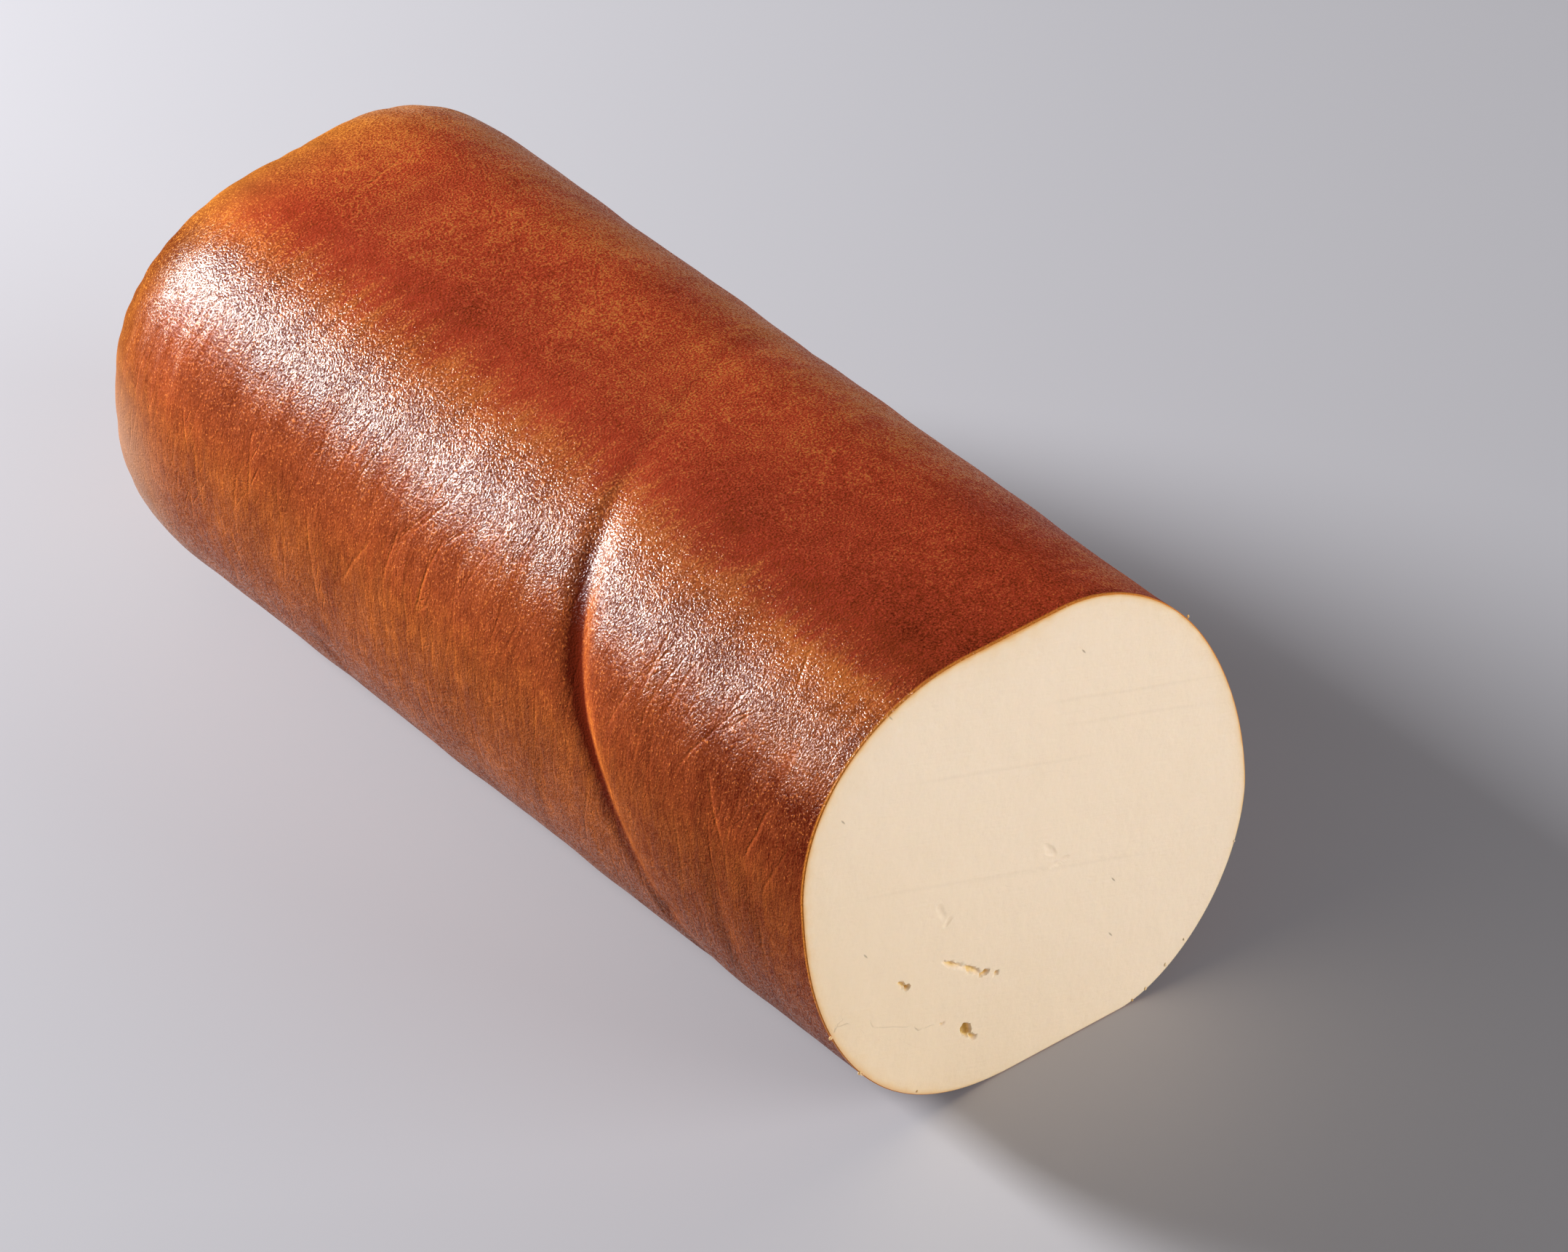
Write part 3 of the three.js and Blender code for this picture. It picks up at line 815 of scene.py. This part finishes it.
PAINTED_GLINT_GOLD = (0.66, 0.18, 0.038, 1)
FAR_RIM_TINT = (0.90, 1.20, 0.90, 1)
# The pale tan over the lower far end is a painted reflection of the pale floor
FLOOR_SHEEN_TAN = (0.33, 0.19, 0.13, 1)
FLOOR_SHEEN_TURN = (70, 98, 118, 160)
LOW_SHEEN_SHARE, END_SHEEN_SHARE = 0.6, 0.2
# The golden line along the cut edge is partly the edge's own colour and partly painted glow of light through
# the thin edge
EDGE_GLOW_GOLD = (0.60, 0.20, 0.032, 1)
BARE_PASTE = (0.80, 0.58, 0.36, 1)
brown_round = round_log_node(skin, ragged_turn, BROWN_ROUND_LOG)
side_share = math_node(skin, "MAXIMUM", brown_round, range_node(skin, along, -78.0, -112.0))
far_rim = range_node(skin, along, -84.0, -110.0)
floor_sheen_round = product_node(skin, band_node(skin, turn_degrees, *FLOOR_SHEEN_TURN), LOW_SHEEN_SHARE)
floor_sheen_round = even_over_end(floor_sheen_round, END_SHEEN_SHARE)
# low_end is how strong the painted floor reflection is here
low_end = product_node(skin, range_node(skin, along, -78.0, -106.0), floor_sheen_round)
top_tone, side_tone = ramp_node(skin, smoke_and_painted_light, TOP_TONES), ramp_node(skin, smoke_and_painted_light, SIDE_TONES)
skin_tone = mix_colour(skin, side_share, top_tone, side_tone)
skin_tone = mix_colour(skin, painted_glint_flecks, skin_tone, PAINTED_GLINT_GOLD)
skin_tone = mix_colour(skin, far_rim, skin_tone, FAR_RIM_TINT, blend="MULTIPLY")
skin_tone = mix_colour(skin, low_end, skin_tone, FLOOR_SHEEN_TAN)
skin_tone = mix_colour(skin, cut_edge_glow, skin_tone, EDGE_GLOW_GOLD)
skin_tone = mix_colour(skin, bare, skin_tone, BARE_PASTE)
skin.links.new(skin_tone, skin_shader.inputs["Base Color"])

pores = grain_field(skin, place, 1.5)
lumps = grain_field(skin, place, 6)
skin_height = weighted_sum(skin, 0.0, [
    (leather, 0.22, 0), (pores, 0.05, 0), (lumps, 0.06, 0), (streaks, 0.05, 0), (wrinkles, -0.09, 0),
])
skin_bump = add_node(skin, "Bump", {"Height": skin_height, "Distance": MM, "Strength": 1.0})
skin.links.new(skin_bump.outputs[0], skin_shader.inputs["Normal"])
MOTTLE_LOW, MOTTLE_HIGH = 0.25, 0.75
skin_roughness = range_node(skin, mottle, MOTTLE_LOW, MOTTLE_HIGH, 0.36, 0.48)
skin.links.new(skin_roughness, skin_shader.inputs["Roughness"])
skin_shader.inputs["Specular IOR Level"].default_value = 0.0

# Fat that the smoke drew out lies over the top and the upper sides as a thin satin coat, and wears off lower
# down, in the string's valley, and towards both ends
GLOSS_ROUND_LOG = [
    (-180, 0.38), (-115, 0.34), (-95, 0.2), (-80, 0.14), (-40, 0.33), (0, 0.32), (22, 0.5), (30, 0.8),
    (36, 0.87), (45, 0.75), (53, 0.42), (61, 0.08), (72, 0.02), (80, 0.03), (90, 0.11), (100, 0.22),
    (112, 0.42), (180, 0.4),
]
END_GLOSS = 0.2
GLOSS_SHIFT_BY_END = 8
WORN_TURN = (-24, -8, 66, 82)
WORN_LEFT = 0.28
WORN_BY_CUT = 0.38
UPPER_SHEEN_TURN = (25, 31, 36, 42)
UPPER_SHEEN = 0.35
gloss_shift = range_node(skin, along, -75.0, -100.0, 0.0, GLOSS_SHIFT_BY_END)
gloss_turn = math_node(skin, "SUBTRACT", ragged_turn, gloss_shift)
gloss_round = even_over_end(round_log_node(skin, gloss_turn, GLOSS_ROUND_LOG), END_GLOSS)
off_end = range_node(skin, along, -84.0, -66.0)
under_worn = range_node(skin, ragged_turn, 35.0, 47.0, WORN_LEFT, 1.0)
end_fade = math_node(skin, "MAXIMUM", off_end, under_worn)
end_fade = product_node(skin, end_fade, range_node(skin, along, -106.0, -90.0))
worn_round = band_node(skin, turn_degrees, *WORN_TURN)
worn_by_end = product_node(skin, worn_round, on_barrel, rest_node(skin, end_fade))
worn_by_cut = product_node(
    skin, range_node(skin, along, 70.0, 112.0, 0.0, WORN_BY_CUT), range_node(skin, turn_degrees, 100.0, 84.0)
)
gloss = product_node(
    skin,
    gloss_round,
    range_node(skin, mottle, MOTTLE_LOW, MOTTLE_HIGH, 1.2, 0.8),
    range_node(skin, leather, 0.39, 0.62, 0.27, 1.6),
    rest_node(skin, valley),
    rest_node(skin, worn_by_end),
    rest_node(skin, worn_by_cut),
    range_node(skin, along, -72.0, -52.0, 1.06, 0.98),
)
upper_sheen = band_node(skin, turn_degrees, *UPPER_SHEEN_TURN)
upper_sheen = product_node(skin, upper_sheen, range_node(skin, along, -60.0, 30.0, 0.0, UPPER_SHEEN))
gloss = math_node(skin, "MULTIPLY_ADD", gloss, upper_sheen, gloss)
skin.links.new(gloss, skin_shader.inputs["Coat Weight"])
skin.links.new(skin_bump.outputs[0], skin_shader.inputs["Coat Normal"])
skin_shader.inputs["Coat Roughness"].default_value = 0.14
skin_shader.inputs["Coat IOR"].default_value = 1.65

# The paste: pale cream cheese, cut smooth with a knife, stained orange along its rim by the smoke, yellow in
# the pits and brown at the bottom of the deepest, with a few dark specks and a crack at the lower left, and
# painted shade that darkens it towards the lower left
cheese_paste = bpy.data.materials.new("cheese_paste_finish")
cheese_paste.use_nodes = True
paste = cheese_paste.node_tree
paste_shader = paste.nodes["Principled BSDF"]
place = place_node(paste)
axes = add_node(paste, "SeparateXYZ", {0: place}).outputs
KNIFE_SLOPE = math.radians(17)
SPECK_SLOPE = math.radians(55)
SPECK_SPACING, SPECK_STRETCH, SPECK_CHANCE = 11, 4, 0.5


def turned_place(slope):
    """The place turned about X, for marks that run across the cut face at a slope."""
    made = add_node(paste, "VectorRotate", {"Vector": place, "Angle": slope}, rotation_type="X_AXIS")
    return made.outputs[0]


knife_way = turned_place(KNIFE_SLOPE)
knife_lines = grain_field(paste, knife_way, 0.8, detail=3, stretch=(1, 60, 1))
knife_nicks = grain_field(paste, knife_way, 0.5, stretch=(1, 5, 1))
curd = grain_field(paste, place, 1.1, detail=3)
dimples = grain_field(paste, place, 7)
cloud = grain_field(paste, place, 18)

speck_axes = add_node(paste, "SeparateXYZ", {0: turned_place(SPECK_SLOPE)}).outputs
speck_along = product_node(paste, speck_axes[1], 1 / SPECK_STRETCH)
speck_place = add_node(paste, "CombineXYZ", {0: speck_along, 1: speck_axes[2]}).outputs[0]
speck_cells = add_node(
    paste, "TexVoronoi", {"Vector": speck_place, "Scale": 1 / SPECK_SPACING}, voronoi_dimensions="2D"
).outputs
speck_middle = rest_node(paste, range_node(paste, speck_cells["Distance"], 0.006, 0.022))
speck_drawn = add_node(paste, "SeparateXYZ", {0: speck_cells["Color"]}).outputs[0]
specks = product_node(paste, speck_middle, math_node(paste, "GREATER_THAN", speck_drawn, SPECK_CHANCE))
scores = line_node(paste, "score")
pit_depth = measure_node(paste, "pit")
pit = range_node(paste, pit_depth, 0.2, 0.9)
deep_pit = range_node(paste, pit_depth, 0.8, 1.0)

# The stain's stops are shares of a reach of eight stain widths from the rim
STAIN_REACH = 8
RIM_STAIN = [
    (0.0, (0.66, 0.26, 0.044)), (0.04, (0.70, 0.34, 0.085)), (0.09, (0.79, 0.53, 0.27)),
    (0.16, (0.84, 0.645, 0.43)), (0.35, (0.86, 0.695, 0.51)), (1.0, (0.87, 0.715, 0.545)),
]
PASTE_SHADE = (0.76, 0.58, 0.36, 1)
PIT_YELLOW = (0.78, 0.52, 0.14, 1)
DEEP_PIT_BROWN = (0.50, 0.29, 0.05, 1)
SPECK_BROWN = (0.35, 0.26, 0.17, 1)
rim_share = math_node(paste, "DIVIDE", measure_node(paste, "rim"), STAIN_REACH)
# The lower left of the face is painted darker: painted shade, added to the cloudy tone of the paste
painted_lower_left_shade = range_node(paste, math_node(paste, "ADD", axes[1], axes[2]), 60.0, -25.0, 0.0, 0.42)
cloud_and_painted_shade = math_node(paste, "MULTIPLY_ADD", cloud, 0.16, painted_lower_left_shade)
cream = mix_colour(paste, cloud_and_painted_shade, ramp_node(paste, rim_share, RIM_STAIN), PASTE_SHADE)
marks = [
    (pit, 0.8, PIT_YELLOW), (deep_pit, 0.7, DEEP_PIT_BROWN),
    (scores, 0.4, SPECK_BROWN), (specks, 0.6, SPECK_BROWN),
]
for mark, share, colour in marks:
    cream = mix_colour(paste, product_node(paste, mark, share), cream, colour)
paste.links.new(cream, paste_shader.inputs["Base Color"])
paste_height = weighted_sum(paste, 0.0, [
    (knife_lines, 0.04, 0), (knife_nicks, 0.03, 0), (curd, 0.06, 0), (dimples, 0.25, 0),
    (specks, -0.1, 0), (scores, -0.12, 0),
])
paste_bump = add_node(paste, "Bump", {"Height": paste_height, "Distance": MM, "Strength": 1.0})
paste.links.new(paste_bump.outputs[0], paste_shader.inputs["Normal"])
paste_shader.inputs["Roughness"].default_value = 0.5
paste_shader.inputs["Specular IOR Level"].default_value = 0.35
paste_shader.inputs["Subsurface Weight"].default_value = 0.25
paste_shader.inputs["Subsurface Radius"].default_value = (1.0, 0.7, 0.4)
paste_shader.inputs["Subsurface Scale"].default_value = 0.002

log.data.materials.clear()
log.data.materials.append(smoked_skin)
log.data.materials.append(cheese_paste)
log.data.polygons.foreach_set("material_index", np.array(faces_on_cut, dtype=np.int32))
log.data.update()
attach(log, "root")
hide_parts("cheese_log")

# The crumbs: bits of paste and rind that the knife left on the rim of the cut face, stuck there by their own
# fat. Each has its place across and up, its size, and its distance from the smoked rim before the cut.
CRUMBS = [
    ((42.3, 83.6), 0.4, 0.4), ((52.3, 25.6), 0.35, 1.2), ((33.4, 4.8), 0.45, 0.9), ((28.0, 1.7), 0.45, 0.7),
    ((-51.2, 29.4), 0.4, 0.1), ((-44.6, 17.8), 0.45, 0.3), ((-43.9, 17.0), 0.3, 0.2),
    ((38.4, 8.6), 0.35, 1.2), ((-30.8, 6.4), 0.3, 0.3), ((24.5, 0.6), 0.3, 0.4),
]
CRUMB_FLATNESS = 0.6
# Lumps on a crumb: height as a share of its size, and number in a millimetre
CRUMB_LUMPS = [(0.55, 1.3), (0.25, 3.1)]
crumb_draw = np.random.default_rng(3)
bpy.ops.object.select_all(action="DESELECT")
crumb_pieces = []
for (across, up), size, stain in CRUMBS:
    on_cut = Vector((CUT_X - math.tan(CUT_LEAN) * (up - MID_HEIGHT), across, up)) * MM + Vector(shift)
    bpy.ops.mesh.primitive_ico_sphere_add(subdivisions=3, radius=size * MM, location=on_cut)
    crumb = bpy.context.object
    stretch = crumb_draw.uniform(0.6, 1.2, 3)
    bpy.ops.transform.resize(value=(CRUMB_FLATNESS * stretch[0], stretch[1], stretch[2]))
    bpy.ops.object.transform_apply(location=True, rotation=True, scale=True)
    for vertex in crumb.data.vertices:
        away = vertex.co - on_cut
        lump = 1 + sum(height * noise.noise(vertex.co / MM * per_mm) for height, per_mm in CRUMB_LUMPS)
        vertex.co = on_cut + away * lump
    crumb_rim = crumb.data.attributes.new("rim", "FLOAT", "POINT")
    crumb_rim.data.foreach_set("value", np.full(len(crumb.data.vertices), stain, dtype=np.float32))
    crumb_pieces.append(crumb)
for crumb in crumb_pieces:
    crumb.select_set(True)
bpy.context.view_layer.objects.active = crumb_pieces[0]
bpy.ops.object.join()
crumbs = bpy.context.object
crumbs.name = "rim_crumbs"
crumb_origin = np.array([crumbs.matrix_world @ v.co for v in crumbs.data.vertices])
crumbs.matrix_world = Matrix.Identity(4)
crumbs.data.vertices.foreach_set("co", crumb_origin.ravel())
bpy.ops.object.shade_smooth()
crumbs.data.materials.append(cheese_paste)
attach(crumbs, "root")

# The setting: a pale floor that runs out of the picture, a large soft light low on the left, a weaker one on
# the side of the cut face, and the camera that looks down on the corner of the cut face and the left side
FLOOR_SIZE = 8
bpy.ops.mesh.primitive_plane_add(size=FLOOR_SIZE, location=(0, 0, 0))
floor = bpy.context.object
floor.name = "floor"
floor_finish = bpy.data.materials.new("floor_finish")
floor_finish.use_nodes = True
floor_shader = floor_finish.node_tree.nodes["Principled BSDF"]
floor_shader.inputs["Base Color"].default_value = (0.50, 0.495, 0.53, 1)
floor_shader.inputs["Roughness"].default_value = 0.5
floor_shader.inputs["Specular IOR Level"].default_value = 0.3
floor.data.materials.append(floor_finish)


def soft_box(name, aim, azimuth, elevation, distance, width, height, roll, power, colour):
    """A rectangular light that faces the point aim from a compass direction, rolled about its own axis."""
    azimuth, elevation, roll = math.radians(azimuth), math.radians(elevation), math.radians(roll)
    away = Vector((
        math.cos(elevation) * math.cos(azimuth),
        math.cos(elevation) * math.sin(azimuth),
        math.sin(elevation),
    ))
    bpy.ops.object.light_add(type="AREA", location=Vector(aim) + away * distance)
    lamp = bpy.context.object
    lamp.name = name
    lamp.data.shape = "RECTANGLE"
    lamp.data.size = width
    lamp.data.size_y = height
    lamp.data.energy = power
    lamp.data.color = colour
    facing = (-away).to_track_quat("-Z", "Y").to_matrix()
    lamp.rotation_euler = (facing @ Matrix.Rotation(roll, 3, "Z")).to_euler()


soft_box(
    "window_light", aim=(-0.03, 0, 0.06), azimuth=208, elevation=20, distance=1.15,
    width=0.50, height=0.28, roll=40, power=34, colour=(1, 1, 1),
)
soft_box(
    "front_fill", aim=(0.12, 0, 0.05), azimuth=33, elevation=12, distance=1.5,
    width=1.2, height=0.5, roll=0, power=22.5, colour=(1, 0.98, 0.96),
)

world = bpy.data.worlds.new("studio_air")
world.use_nodes = True
world.node_tree.nodes["Background"].inputs["Color"].default_value = (0.95, 0.95, 1.0, 1)
world.node_tree.nodes["Background"].inputs["Strength"].default_value = 0.08
bpy.context.scene.world = world
bpy.context.scene.view_settings.view_transform = "Standard"

CAMERA_PLACE = Vector((1212.83, -957.53, 1215.26)) * MM
CAMERA_AIM = Vector((42.90, 3.86, 55)) * MM
bpy.ops.object.camera_add(location=CAMERA_PLACE)
camera = bpy.context.object
camera.rotation_euler = (CAMERA_AIM - CAMERA_PLACE).to_track_quat("-Z", "Y").to_euler()
camera.data.sensor_fit = "HORIZONTAL"
camera.data.sensor_width = 36
camera.data.lens = 220.47
bpy.context.scene.camera = camera
